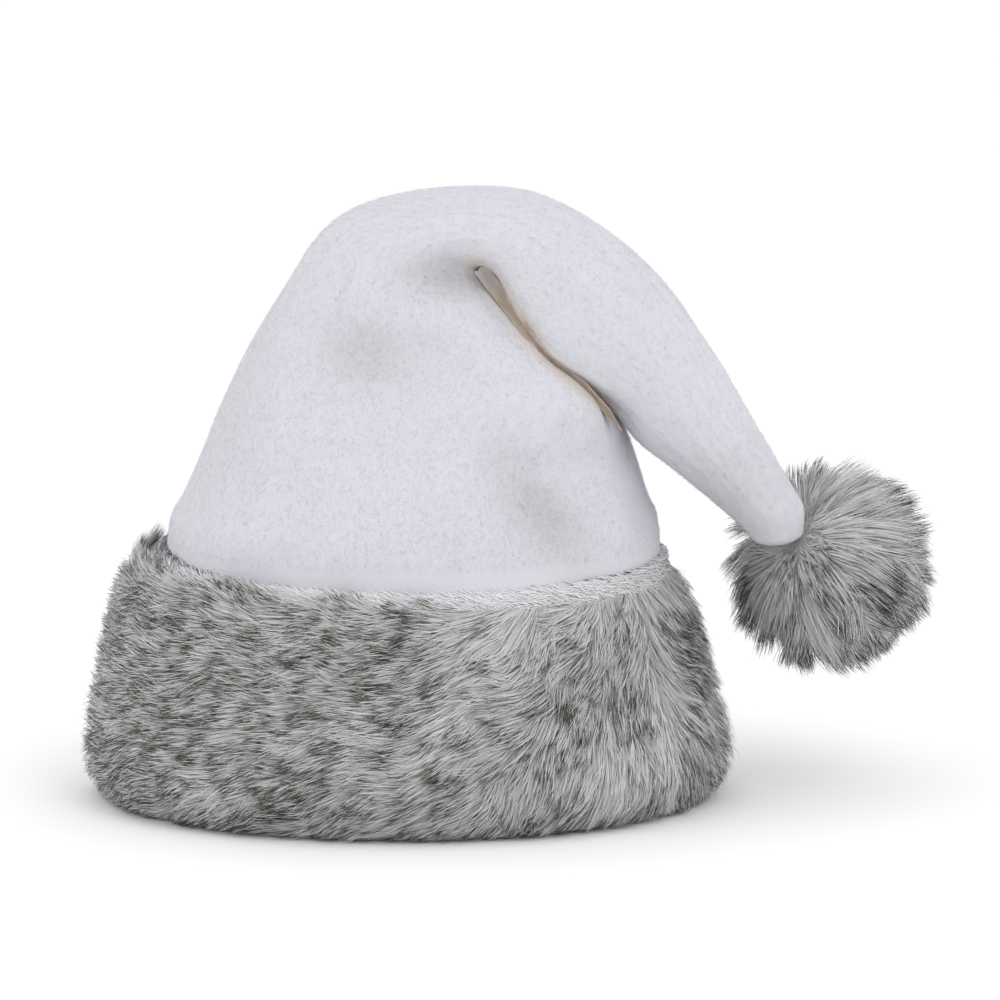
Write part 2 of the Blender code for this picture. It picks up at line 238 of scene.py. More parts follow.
def hair_mesh(name, paths, across, outs, widths, tones, material):
    """Joins ribbons in one mesh. paths is hairs by stations by 3, in metres, and across the
    direction of each ribbon's width. The last station is the point of the hair. The shading
    normals are the cloth's own, bent a little to each side, so that a flat ribbon looks round."""
    hairs, stations = paths.shape[:2]
    taper = np.array(TAPER[: stations - 1])
    offset = across[:, :-1] * widths[:, None, None] * taper[None, :, None] * 0.5
    pairs = np.stack((paths[:, :-1] - offset, paths[:, :-1] + offset), axis=2)
    per_hair = 2 * (stations - 1) + 1
    places = np.concatenate((pairs.reshape(hairs, -1, 3), paths[:, -1:]), axis=1)
    corners, sizes, sides, along = [], [], [], []
    for step in range(stations - 2):
        corners += [2 * step, 2 * step + 1, 2 * step + 3, 2 * step + 2]
        sizes.append(4)
    corners += [per_hair - 3, per_hair - 2, per_hair - 1]
    sizes.append(3)
    for corner in corners:
        sides.append(0.0 if corner == per_hair - 1 else (1.0 if corner % 2 else -1.0))
        along.append(STATIONS[stations][corner // 2])
    corners, sizes = np.array(corners), np.array(sizes)
    mesh = bpy.data.meshes.new(name)
    mesh.vertices.add(hairs * per_hair)
    mesh.vertices.foreach_set("co", places.astype(np.float32).ravel())
    indices = np.arange(hairs)[:, None] * per_hair + corners[None, :]
    mesh.loops.add(indices.size)
    mesh.loops.foreach_set("vertex_index", indices.astype(np.int32).ravel())
    all_sizes = np.tile(sizes, hairs)
    mesh.polygons.add(len(all_sizes))
    starts = np.concatenate(([0], np.cumsum(all_sizes)[:-1]))
    mesh.polygons.foreach_set("loop_start", starts.astype(np.int32))
    mesh.polygons.foreach_set("use_smooth", np.ones(len(all_sizes), bool))
    mesh.update(calc_edges=True)
    chart = mesh.uv_layers.new(name="OFBake")
    tone = CHART_EDGE + CHART_SPAN * tones[:, None] + CHART_SIDE * np.array(sides)[None, :]
    height = np.broadcast_to(CHART_EDGE + CHART_SPAN * np.array(along)[None, :], tone.shape)
    chart.data.foreach_set("uv", np.stack((tone, height), axis=-1).astype(np.float32).ravel())
    bend = across[:, :-1] * (ROUNDING if stations > 2 else 0.0)
    bent = np.stack((outs[:, :-1] - bend, outs[:, :-1] + bend), axis=2)
    bent = np.concatenate((bent.reshape(hairs, -1, 3), outs[:, -1:]), axis=1).reshape(-1, 3)
    mesh.normals_split_custom_set_from_vertices(unit(bent).astype(np.float32))
    mesh.materials.append(material)
    coat = bpy.data.objects.new(name, mesh)
    scene.collection.objects.link(coat)
    print(name, hairs, "hairs,", int((sizes - 2).sum()) * hairs, "triangles")
    return coat


def rolled_across(paths, outward, rng, spread):
    """The width direction of each ribbon: flat to the cloth, but rolled by up to the spread."""
    along = np.gradient(paths, axis=1)
    flat = unit(np.cross(along, outward))
    edge = unit(np.cross(flat, along))
    roll = rng.normal(0.0, spread, len(paths))[:, None, None]
    return flat * np.cos(roll) + edge * np.sin(roll)


def ripple(x, y, size, seed, waves=14):
    """Smooth random hills between about -1 and 1. x is a turn and y is in millimetres."""
    rng = np.random.default_rng(seed)
    total = np.zeros(np.broadcast(x, y).shape)
    for _ in range(waves):
        heading = rng.uniform(0, 2 * math.pi)
        turns = round(MEAN_RADIUS * 2 * math.pi / size * math.cos(heading) * rng.uniform(0.6, 1.4))
        rate = 2 * math.pi / size * math.sin(heading) * rng.uniform(0.6, 1.4)
        total += np.sin(turns * x + rate * y + rng.uniform(0, 2 * math.pi))
    return total / math.sqrt(waves / 2) * 0.7


# %% [markdown]
# ## The crown
# The real crown is a cone of plush, sewn up one side, that stands by its own stiffness up to the
# fold and hangs from there. A soft cone like this could be a simulated cloth, but the photograph
# fixes where every bulge lies. So it is lofted: ovals in a fan from the rim over the fold and down
# the tail, each extruded from the last, then dented where the photograph shows a hollow. Each oval
# is given by its point nearest the fold's inside and the one opposite, and by how deep, how square
# and how far forward it is.

# %% The crown's ovals
# inner x, inner z, outer x, outer z, half depth, fullness, lean, inner fullness: in millimetres
# from the rim's centre
OVALS = {
    "hem": (114.5, 8.0, -114.5, 8.0, 84.0, 2.0, 0.0, 2.0),
    "inside the cuff": (114.0, 56.0, -111.0, 56.0, 83.5, 2.0, 0.0, 2.0),
    "cuff top": (111.3, 118.0, -104.5, 118.0, 82.0, 2.0, 0.0, 2.0),
    "lower body": (107.2, 133.0, -98.3, 133.0, 80.5, 2.05, 0.0, 2.05),
    "body": (102.3, 149.0, -91.2, 149.5, 78.0, 2.1, 0.0, 2.1),
    "shoulder": (97.0, 161.5, -84.5, 165.5, 75.0, 2.15, 0.5, 2.3),
    "below the crease": (88.8, 178.3, -76.5, 182.5, 71.5, 2.2, 1.0, 4.0),
    "upper body": (76.8, 192.3, -68.0, 200.0, 67.5, 2.25, 2.0, 8.0),
    "high body": (63.3, 203.3, -59.0, 216.0, 63.0, 2.3, 2.5, 10.0),
    "near the fold": (51.8, 218.3, -49.8, 231.0, 58.5, 2.3, 2.5, 9.0),
    "fold, lower left": (42.5, 230.5, -40.5, 245.5, 54.5, 2.3, 2.5, 7.0),
    "fold, left": (37.0, 235.6, -28.5, 256.7, 51.0, 2.25, 2.0, 6.5),
    "fold": (34.5, 238.0, -11.0, 264.0, 48.5, 2.2, 0.0, 6.0),
    "fold, right": (34.4, 239.6, 10.0, 268.4, 46.5, 2.2, -3.5, 6.0),
    "tail's root": (35.8, 239.2, 31.0, 270.2, 44.5, 2.2, -7.5, 6.0),
    "over the top": (39.0, 234.6, 52.5, 268.9, 42.5, 2.2, -11.0, 6.0),
    "start of the tail": (43.8, 226.0, 70.8, 262.5, 41.0, 2.2, -14.0, 9.0),
    "upper tail": (49.7, 215.2, 87.0, 253.3, 39.5, 2.2, -15.5, 10.0),
    "tail": (61.2, 201.2, 102.0, 242.0, 37.5, 2.2, -16.5, 8.0),
    "tail, widest": (74.9, 189.9, 116.2, 227.0, 35.0, 2.15, -17.0, 4.5),
    "tail, middle": (88.5, 177.0, 128.0, 209.3, 32.0, 2.1, -17.0, 2.4),
    "lower tail": (101.0, 161.6, 139.8, 190.8, 28.5, 2.05, -16.5, 2.05),
    "tail, thinner": (114.0, 151.0, 150.3, 172.8, 25.0, 2.0, -15.5, 2.0),
    "above the waist": (125.5, 141.3, 159.4, 157.4, 21.5, 2.0, -14.0, 2.0),
    "waist": (136.8, 131.5, 167.8, 143.0, 18.5, 2.0, -13.0, 2.0),
    "tip": (145.5, 123.6, 174.5, 131.5, 16.0, 2.0, -12.5, 2.0),
    "end": (151.0, 117.8, 174.5, 121.3, 11.5, 2.0, -12.0, 2.0),
}
TAIL_END = np.array((164.5, -12.0, 114.0))
OVAL_SPACING = 4.2
CROWN_SIDES = 104
# near the hub of the fan, the front of each oval is kept at least this share of its depth
HUB = (35.0, 239.0)
HUB_REACH = 9.0
HUB_FLOOR = 0.86
TIP_LOOPS = 5


def smooth_rows(rows, places):
    """Rows read at fractional places, on a curve through them all."""
    rows = np.asarray(rows, float)
    low = np.clip(np.floor(places).astype(int), 0, len(rows) - 2)
    part = (places - low)[:, None]
    before, here = rows[np.maximum(low - 1, 0)], rows[low]
    after, beyond = rows[low + 1], rows[np.minimum(low + 2, len(rows) - 1)]
    slope_in, slope_out = (after - before) / 2, (beyond - here) / 2
    square, cube = part**2, part**3
    return (
        here * (2 * cube - 3 * square + 1)
        + slope_in * (cube - 2 * square + part)
        + after * (3 * square - 2 * cube)
        + slope_out * (cube - square)
    )


def oval_points(rows, turns):
    """The points of each oval at each turn, loops by turns by 3, in millimetres."""
    inner_x, inner_z, outer_x, outer_z, depth, fullness, lean, inner_fullness = rows.T[:, :, None]
    cosine, sine = np.cos(turns)[None, :], np.sin(turns)[None, :]
    fullness = np.where(cosine > 0, inner_fullness, fullness)
    across = np.sign(cosine) * np.abs(cosine) ** (2 / fullness)
    deep = np.sign(sine) * np.abs(sine) ** (2 / fullness)
    from_hub = np.hypot(inner_x - HUB[0], inner_z - HUB[1])
    near_hub = np.exp(-((from_hub / HUB_REACH) ** 2))
    floor = HUB_FLOOR * near_hub * (cosine > 0) * (sine < 0)
    deep = np.sign(deep) * np.maximum(np.abs(deep), floor)
    x = (inner_x + outer_x) / 2 + (inner_x - outer_x) / 2 * across
    z = (inner_z + outer_z) / 2 + (inner_z - outer_z) / 2 * across
    return np.stack((x, lean + depth * deep, z), axis=-1)


oval_rows = np.array(list(OVALS.values()))
oval_middles = (oval_rows[:, :2] + oval_rows[:, 2:4]) / 2
reach = np.maximum(
    np.linalg.norm(np.diff(oval_middles, axis=0), axis=1),
    np.linalg.norm(np.diff(oval_rows[:, 2:4], axis=0), axis=1) * 0.7,
)
places = np.concatenate(
    [k + np.arange(n) / n for k, n in enumerate(np.ceil(reach / OVAL_SPACING).astype(int))]
    + [[len(oval_rows) - 1]]
)
turns = np.arange(CROWN_SIDES) * 2 * math.pi / CROWN_SIDES
crown_form = oval_points(smooth_rows(oval_rows, places), turns)
end_middle = crown_form[-1].mean(axis=0)
for step in range(1, TIP_LOOPS + 1):
    swing = step / (TIP_LOOPS + 0.6) * math.pi / 2
    middle = end_middle + (TAIL_END - end_middle) * math.sin(swing)
    crown_form = np.concatenate(
        (crown_form, (middle + (crown_form[len(places) - 1] - end_middle) * math.cos(swing))[None])
    )
print("the crown has", len(crown_form), "loops of", CROWN_SIDES)

# %% [markdown]
# The plush is slack, so it has shallow hollows: a pinched one where the crease runs out over the
# front, one left of the middle, one low on the right. Smaller swells all over come from the cloth's
# own weight. They are pressed into the arrays, so that the skin and its pile share them. Shade is
# painted grey into the colour of the hollows, and of the left flank and the tail's low side, which
# lie in shade.

# %% Hollows, swells and painted shade
# x, z, reach across, reach up, slant in degrees, depth in millimetres, painted shade from 0 to 1
HOLLOWS = {
    "crease's end, on the front": (19.0, 237.5, 20.0, 8.5, -4.0, 7.0, 0.8),
    "beside the crease": (44.0, 224.0, 22.0, 8.0, -54.0, 4.5, 0.3),
    "left of the middle": (-17.0, 205.0, 20.0, 14.0, -10.0, 7.5, 0.55),
    "low on the right": (60.0, 136.0, 11.0, 31.0, 37.0, 6.5, 0.7),
    "far low left": (-70.0, 150.0, 24.0, 18.0, 0.0, 2.0, 0.0),
    "swell under the crease": (46.0, 170.0, 34.0, 22.0, -40.0, -3.0, 0.0),
    "swell on the left": (-46.0, 168.0, 26.0, 30.0, 20.0, -2.2, 0.0),
    "left flank, in shade": (-92.0, 175.0, 22.0, 70.0, -22.0, 0.0, 0.35),
    "low on the tail": (142.0, 140.0, 26.0, 20.0, -40.0, 0.0, 0.45),
}
# size and depth in millimetres, and the seed
SWELLS = ((46.0, 1.0, 3), (21.0, 0.35, 4))
CUFF_TOP = 112.0
CROWN_GIRTH = 230.0
UP_PER_LOOP = OVAL_SPACING * 0.8


def grid_normals(grid):
    """Outward normals of a grid of loops, each loop closed."""
    onward = np.gradient(grid, axis=0)
    around = np.roll(grid, -1, axis=1) - np.roll(grid, 1, axis=1)
    return unit(np.cross(around, onward))


def spot(x, z, across, height, wide, tall, slant):
    """A soft oval spot on the front, 1 at its middle."""
    turned = math.radians(slant)
    right = (x - across) * math.cos(turned) + (z - height) * math.sin(turned)
    up = (z - height) * math.cos(turned) - (x - across) * math.sin(turned)
    return np.exp(-((right / wide) ** 2) - (up / tall) ** 2)


crown_out = grid_normals(crown_form)
x, z = crown_form[..., 0], crown_form[..., 2]
front = np.clip(-crown_form[..., 1] / 25.0, 0.0, 1.0)
for across, height, wide, tall, slant, depth, _ in HOLLOWS.values():
    press = spot(x, z, across, height, wide, tall, slant)
    crown_form[..., 1] += depth * front * press
loop_height = np.arange(len(crown_form))[:, None] * UP_PER_LOOP
free = np.clip((z - CUFF_TOP) / 20.0, 0.0, 1.0)
girth = np.ptp(crown_form, axis=1).max(axis=-1)[:, None] / CROWN_GIRTH
for size, depth, seed in SWELLS:
    swell = ripple(turns[None, :], loop_height, size / np.mean(girth), seed)
    crown_form += crown_out * (swell * depth * free * girth)[..., None]
crown_out = grid_normals(crown_form)

# %% [markdown]
# The crease is where the tail lies against the body. In the photograph it is a narrow warm brown
# line with a soft edge: the shadow deep in the crease, which is painted here as a warm brown in the
# colour. Its strength is worked out from the distance to that line. The skin and the pile beside
# it both read it, and the hairs that fill the crease follow the same table.

# %% The crease
# x, z, width of the painted warm shadow, its strength, width of the line of shadow-painted hairs,
# and y where the cloths meet
CREASE = np.array((
    (24.0, 242.0, 6.0, 0.15, 0.0, -42.0),
    (33.0, 241.6, 6.0, 0.6, 6.4, -44.5),
    (37.0, 236.0, 6.0, 0.6, 6.0, -45.5),
    (51.0, 217.2, 5.0, 0.6, 4.6, -51.0),
    (62.3, 202.6, 3.0, 0.6, 5.2, -51.0),
    (76.0, 191.5, 2.4, 0.7, 4.4, -48.5),
    (86.0, 181.0, 2.2, 0.7, 2.8, -45.5),
    (91.5, 173.5, 1.6, 0.6, 0.4, -42.0),
))


def crease_shadow_strength(points):
    """How strongly the crease's warm shadow is painted: 1 on the crease, 0 away from it,
    for points in millimetres.
    """
    flat = points[..., [0, 2]]
    best = np.zeros(flat.shape[:-1])
    for start, stop in zip(CREASE, CREASE[1:]):
        run = stop[:2] - start[:2]
        part = np.clip(((flat - start[:2]) @ run) / (run @ run), 0.0, 1.0)
        away = np.linalg.norm(flat - start[:2] - part[..., None] * run, axis=-1)
        width, strength = (start[k] + (stop[k] - start[k]) * part for k in (2, 3))
        best = np.maximum(best, strength * np.exp(-((away / width) ** 2)))
    return best * np.clip((-points[..., 1] - 20.0) / 12.0, 0.0, 1.0)


def painted_shade_strength(points):
    """How much grey shade is painted into the hollows and shaded places, from 0 to 1,
    on the front only.
    """
    shade = np.zeros(points.shape[:-1])
    for *place, _, share in HOLLOWS.values():
        shade = np.maximum(shade, share * spot(points[..., 0], points[..., 2], *place))
    return shade * (points[..., 1] < 0.0)


print("points on the crease:", int((crease_shadow_strength(crown_form) > 0.5).sum()))

# %% [markdown]
# The skin is lofted with Blender's own mesh operators: a circle is laid on the first loop of the
# grid, its edges are extruded to the next loop, and so on up to the tip, which a face closes. A
# modifier then gives the cloth its thickness, so that the hat is hollow.

# %% The crown's skin
PLUSH = (0.625, 0.625, 0.665, 1)
PLUSH_MOTTLED = (0.615, 0.615, 0.655, 1)
# painted shade: the grey mixed in where the hollows and the shaded places are
PLUSH_PAINTED_SHADE = (0.455, 0.45, 0.465, 1)
# painted shadow: the warm brown of the shade deep in the crease
CREASE_SHADOW_TAN = (0.52, 0.41, 0.31, 1)
CLOTH = 3.0
# a slanting direction, along which no two points of a piece lie level, so it can sort them
ODD_WAY = Vector((0.613, 0.377, 0.694))


def loop_edges(loop):
    """The edges that join the points of a loop, in the order in which they are met."""
    inside = set(loop)
    met = (edge for vert in loop for edge in vert.link_edges)
    return list(dict.fromkeys(edge for edge in met if set(edge.verts) <= inside))


def loft(bm, grid, closed=False):
    """Extrudes a circle from loop to loop of a grid, in metres."""
    order = bm.verts.layers.int.new("order")
    loop = bmesh.ops.create_circle(bm, segments=grid.shape[1], radius=1.0)["verts"]
    first = loop
    for index, vert in enumerate(loop):
        vert[order] = index
        vert.co = grid[0, index]
    for row in grid[1:]:
        grown = bmesh.ops.extrude_edge_only(bm, edges=loop_edges(loop))["geom"]
        loop = [g for g in grown if isinstance(g, bmesh.types.BMVert)]
        for vert in loop:
            vert.co = row[vert[order]]
    if closed:
        bmesh.ops.bridge_loops(bm, edges=loop_edges(loop) + loop_edges(first))
    return loop


def in_frame(points):
    """Hat millimetres to the frame's metres."""
    return (points + RIM_CENTRE) * MM


def piece_from(bm, name, material):
    """A finished bmesh as an object of the scene, with its parts in the same order on every run."""
    bm.verts.sort(key=lambda vert: vert.co.dot(ODD_WAY))
    bm.edges.sort(key=lambda edge: (edge.verts[0].co + edge.verts[1].co).dot(ODD_WAY))
    bm.faces.sort(key=lambda face: face.calc_center_median().dot(ODD_WAY))
    bmesh.ops.recalc_face_normals(bm, faces=bm.faces)
    mesh = bpy.data.meshes.new(name)
    bm.to_mesh(mesh)
    bm.free()
    mesh.shade_smooth()
    mesh.materials.append(material)
    made = bpy.data.objects.new(name, mesh)
    scene.collection.objects.link(made)
    print(name, len(mesh.vertices), "points")
    return made


plush_skin = Finish("plush ground", Roughness=0.95, Specular_IOR_Level=0.1, Sheen_Weight=0.2)
place = plush_skin.place()
weave = plush_skin.noise(place, 900.0)
# a soft random mottle of tone over the skin
mottle = plush_skin.noise(place, 60.0)
# painted shadow: the crease's warm brown on the skin
crease_shadow_mask = plush_skin.node("ShaderNodeAttribute", {"attribute_name": "crease"}, output="Fac")
# painted shade: the grey of the hollows and the shaded places on the skin
painted_shade_mask = plush_skin.node("ShaderNodeAttribute", {"attribute_name": "shade"}, output="Fac")
ground = plush_skin.mix(mottle.eased(0.35, 0.7), PLUSH_MOTTLED, PLUSH)
ground = plush_skin.mix(painted_shade_mask, ground, PLUSH_PAINTED_SHADE)
plush_skin.set(
    Base_Color=plush_skin.mix(crease_shadow_mask, ground, CREASE_SHADOW_TAN),
    Normal=plush_skin.bump(weave, 0.25, 0.0005),
)

bm = bmesh.new()
tip = loft(bm, in_frame(crown_form))
bmesh.ops.contextual_create(bm, geom=loop_edges(tip))
crown_skin = piece_from(bm, "crown_skin", plush_skin.material)
skin_points = np.zeros(len(crown_skin.data.vertices) * 3, np.float32)
crown_skin.data.vertices.foreach_get("co", skin_points)
skin_points = skin_points.reshape(-1, 3) / MM - RIM_CENTRE
# the skin's points keep the painted crease shadow and the painted grey shade of the hollows
for name, strength in (("crease", crease_shadow_strength), ("shade", painted_shade_strength)):
    painted = crown_skin.data.attributes.new(name, "FLOAT", "POINT")
    painted.data.foreach_set("value", strength(skin_points).astype(np.float32))
wall = crown_skin.modifiers.new("cloth thickness", "SOLIDIFY")
wall.thickness = CLOTH * MM
wall.offset = -1.0

# %% [markdown]
# The pile is a little over two millimetres of fine hair, brushed from the tip down to the rim. A
# bump texture can't give its soft outline, so each hair is a single thin triangle that leans with
# the nap. They are scattered by area over the same grid as the skin.

# %% The crown's pile
PILE_HAIRS = 112000
PILE_LENGTH = 2.4
PILE_WIDTH = 0.18
PILE_ROOT = (0.615, 0.615, 0.65, 1)
PILE_TIP = (0.635, 0.635, 0.675, 1)
# a hair's tone is its share of painted grey shade up to here, and its share of the crease's painted
# warm shadow from there
PAINTED_SHADE_UP_TO = 0.45
SHADOW_TAN_FROM = 0.55
LEAST_SHADOW_TAN = 0.12


def scatter(grid, count, rng, keep):
    """Random spots on a grid of loops, spread evenly by area where keep is true.
    Returns fractional loops and turns."""
    near = np.roll(grid, -1, axis=1)
    cells = np.linalg.norm(np.cross(grid[1:] - grid[:-1], near[:-1] - grid[:-1]), axis=-1)
    cells = cells * keep[:-1]
    chosen = rng.choice(cells.size, size=count, p=cells.ravel() / cells.sum())
    rows, columns = np.unravel_index(chosen, cells.shape)
    return rows + rng.random(count), columns + rng.random(count)


def read_grid(grid, rows, columns):
    """Values of a grid at fractional loops and turns."""
    low_row = np.clip(np.floor(rows).astype(int), 0, len(grid) - 2)
    low_column = np.floor(columns).astype(int)
    part_row, part_column = (rows - low_row)[:, None], (columns - low_column)[:, None]
    here, beside = low_column % grid.shape[1], (low_column + 1) % grid.shape[1]
    lower = grid[low_row, here] * (1 - part_column) + grid[low_row, beside] * part_column
    upper = grid[low_row + 1, here] * (1 - part_column) + grid[low_row + 1, beside] * part_column
    return lower * (1 - part_row) + upper * part_row


pile_fur = Finish("plush pile", Roughness=0.9, Specular_IOR_Level=0.1, Sheen_Weight=0.15)
stain, along_hair = pile_fur.chart()
white = pile_fur.mix(along_hair.eased(0.0, 0.7), PILE_ROOT, PILE_TIP)
# painted shade: grey over the pile in the hollows and the shaded places
painted_shade_mask = (stain / PAINTED_SHADE_UP_TO).clamped() * (1 - stain.eased(0.49, 0.51))
white = pile_fur.mix(painted_shade_mask, white, PLUSH_PAINTED_SHADE)
# painted shadow: the crease's warm brown over the pile's colour
tan = (stain - SHADOW_TAN_FROM) / (1 - SHADOW_TAN_FROM)
pile_fur.set(Base_Color=pile_fur.mix(tan, white, CREASE_SHADOW_TAN))

rng = np.random.default_rng(21)
rows, columns = scatter(crown_form, PILE_HAIRS, rng, crown_form[..., 2] > CUFF_TOP)
roots = read_grid(crown_form, rows, columns)
outward = unit(read_grid(crown_out, rows, columns))
nap = -unit(read_grid(np.gradient(crown_form, axis=0), rows, columns))
sideways = np.cross(outward, nap)
turn_there = columns * 2 * math.pi / CROWN_SIDES
brushed = ripple(turn_there, rows * UP_PER_LOOP, 30.0, 8) * 0.4
brushed = brushed + rng.normal(0, 0.3, len(rows))
lean = unit(nap * np.cos(brushed)[:, None] + sideways * np.sin(brushed)[:, None])
stand = rng.uniform(0.3, 0.75, len(rows))[:, None]
length = PILE_LENGTH * rng.uniform(0.6, 1.15, len(rows))[:, None]
tips = roots + unit(lean + outward * stand) * length
# painted shadow: the pile beside the crease takes its warm brown
crease_shadow_share = crease_shadow_strength(roots) * rng.uniform(0.6, 1.0, len(rows))
# painted shade: the pile's share of grey in the hollows and the shaded places
painted_shade_share = painted_shade_strength(roots) * rng.uniform(0.7, 1.1, len(rows))
stained = np.where(crease_shadow_share > LEAST_SHADOW_TAN, SHADOW_TAN_FROM + (1 - SHADOW_TAN_FROM) * crease_shadow_share, PAINTED_SHADE_UP_TO * painted_shade_share)
print("tan hairs beside the crease:", int((crease_shadow_share > LEAST_SHADOW_TAN).sum()))

# %% [markdown]
# Where the cloths meet, the crease is filled by hairs of its own, painted with its warm shadow so
# that the dark gap reads as a shaded brown line. They lie along its line, on the depth at which
# tail and body touch, and their painted shadow fades in at the upper end. They join the pile's
# arrays, so that one mesh holds both.

# %% The hairs in the crease
LINE_HAIRS = 5000
LINE_LENGTH = 5.0
LINE_THICKER = 1.8
LINE_FACING = unit(np.array((0.25, -1.0, 0.3)))
SUNK = 0.3


def crease_shadow_hairs(rng):
    """Roots, tips and tones of the hairs that fill the crease, painted with its warm shadow."""
    spots = rng.uniform(1, len(CREASE) - 1, LINE_HAIRS)
    leg = np.minimum(spots.astype(int), len(CREASE) - 2)
    line = CREASE[leg] + (CREASE[leg + 1] - CREASE[leg]) * (spots - leg)[:, None]
    run = unit(CREASE[leg + 1, :2] - CREASE[leg, :2])
    beside = rng.uniform(-0.5, 0.5, LINE_HAIRS) * line[:, 4]
    root_x, root_z = line[:, 0] - run[:, 1] * beside, line[:, 1] + run[:, 0] * beside
    line_roots = np.stack((root_x, line[:, 5] + 1.5 - np.abs(beside) * 0.5, root_z), axis=-1)
    ways = np.stack((run[:, 0], rng.uniform(-0.55, -0.25, LINE_HAIRS), run[:, 1]), axis=-1)
    fading_in = np.clip((spots - 1.0) / 1.4, 0.6, 1.0) * rng.uniform(0.8, 1.0, LINE_HAIRS)
    return line_roots, line_roots + ways * LINE_LENGTH, SHADOW_TAN_FROM + (1 - SHADOW_TAN_FROM) * fading_in


line_roots, line_tips, line_shadow_tones = crease_shadow_hairs(rng)
roots, tips = np.concatenate((roots, line_roots)), np.concatenate((tips, line_tips))
outward = np.concatenate((outward, np.tile(LINE_FACING, (LINE_HAIRS, 1))))
stained = np.concatenate((stained, line_shadow_tones))
paths = np.stack((roots - outward * SUNK, tips), axis=1)
across = rolled_across(paths, outward[:, None], rng, 0.25)
width = PILE_WIDTH * rng.uniform(0.7, 1.2, len(roots))
width[-LINE_HAIRS:] *= LINE_THICKER
outs = np.repeat(outward[:, None], 2, axis=1)
crown_pile = hair_mesh(
    "crown_pile", in_frame(paths), across, outs, width * MM, stained, pile_fur.material
)

# %% [markdown]
# ## The cuff
# The cuff is fur cloth turned up round the rim. Under its hair is a ground cloth: it rises from
# the flat bottom edge, rolls over at the top, goes down beside the crown and turns under the
# crown's hem to a short lip inside. That ground is one closed ring, lofted as the crown is.

# %% The cuff's ground
# centre x, half width, half depth, height: in millimetres, from the rim up, under the fur
GROUND = {
    "bottom edge": (0.5, 124.0, 89.5, 0.8),
    "corner": (0.5, 131.0, 96.0, 6.0),
    "belly": (0.5, 135.6, 101.0, 18.0),
    "lower side": (0.2, 133.6, 99.4, 34.0),
    "side": (-0.4, 129.8, 96.4, 52.0),
    "upper side": (-1.2, 125.6, 92.6, 70.0),
    "below the roll": (-1.6, 120.6, 88.9, 88.0),
    "roll": (-0.4, 116.6, 86.2, 101.0),
    "crest": (2.8, 112.0, 84.0, 108.0),
}
CREST = 112.0
BACK_RISE = 4.5
RIGHT_RISE = -1.0
GAP = 0.5
LIP = 2.8
LIP_TOP = 26.0
SPILL = 0.2
CUFF_SIDES = 96
# heights of the crown's lowest three ovals
HEM, INSIDE_CUFF, TOP_OF_CUFF = 8.0, 56.0, 118.0
ground_rows = smooth_rows(list(GROUND.values()), np.linspace(0, len(GROUND) - 1, 121))


def risen(height, turn):
    """The cuff's edge stands a little higher at the back and the left."""
    rise = BACK_RISE * np.sin(turn) + RIGHT_RISE * np.cos(turn)
    return height + rise * (height / CREST) ** 2


def on_ground(turn, share):
    """Points on the ground cloth: share is 0 at the bottom edge and 1 on the crest. Below 0 they
    spill outwards over the floor, and above 1 they go on up beside the crown."""
    at = np.clip(share, 0.0, 1.0) * (len(ground_rows) - 1)
    low = np.clip(at.astype(int), 0, len(ground_rows) - 2)
    part = (at - low)[..., None]
    row = ground_rows[low] * (1 - part) + ground_rows[low + 1] * part
    centre, width, depth, height = np.moveaxis(row, -1, 0)
    below, above = np.maximum(-share, 0.0) * CREST, np.maximum(share - 1.0, 0.0) * CREST
    width, depth = width + below * SPILL, depth + below * SPILL
    height = risen(height, turn) + above
    return np.stack((centre + width * np.cos(turn), depth * np.sin(turn), height), axis=-1)


def beside_crown(height, offset, turn):
    """A loop round the crown's own surface inside the cuff."""
    if height > INSIDE_CUFF:
        at = 1 + min((height - INSIDE_CUFF) / (TOP_OF_CUFF - INSIDE_CUFF), 1.0)
        row = smooth_rows(oval_rows[:3], np.array([at]))[0]
    else:
        at = max((height - HEM) / (INSIDE_CUFF - HEM), 0.0)
        row = oval_rows[0] + (oval_rows[1] - oval_rows[0]) * at
    centre, width, depth = (row[0] + row[2]) / 2, (row[0] - row[2]) / 2 + offset, row[4] + offset
    lifted = risen(height, turn) if height > LIP_TOP else np.full_like(turn, height)
    return np.stack((centre + width * np.cos(turn), depth * np.sin(turn), lifted), axis=-1)


ring_turns = np.arange(CUFF_SIDES) * 2 * math.pi / CUFF_SIDES
inside = -CLOTH - GAP
# height and offset from the crown's outside: the lip's inner side, then the way back down
LIP_LOOPS = (
    (LIP_TOP, inside - LIP),
    (12.0, inside - LIP),
    (2.8, inside - LIP),
    (0.8, inside - 1.0),
)
BACK_LOOPS = (
    (CREST - 5.0, GAP),
    (80.0, GAP),
    (INSIDE_CUFF, GAP),
    (HEM - GAP, GAP),
    (HEM - GAP, inside),
    (LIP_TOP, inside),
)
ground_loops = [beside_crown(height, offset, ring_turns) for height, offset in LIP_LOOPS]
for share in np.linspace(0, 1, 25):
    ground_loops.append(on_ground(ring_turns, np.full_like(ring_turns, share)))
ground_loops += [beside_crown(height, offset, ring_turns) for height, offset in BACK_LOOPS]

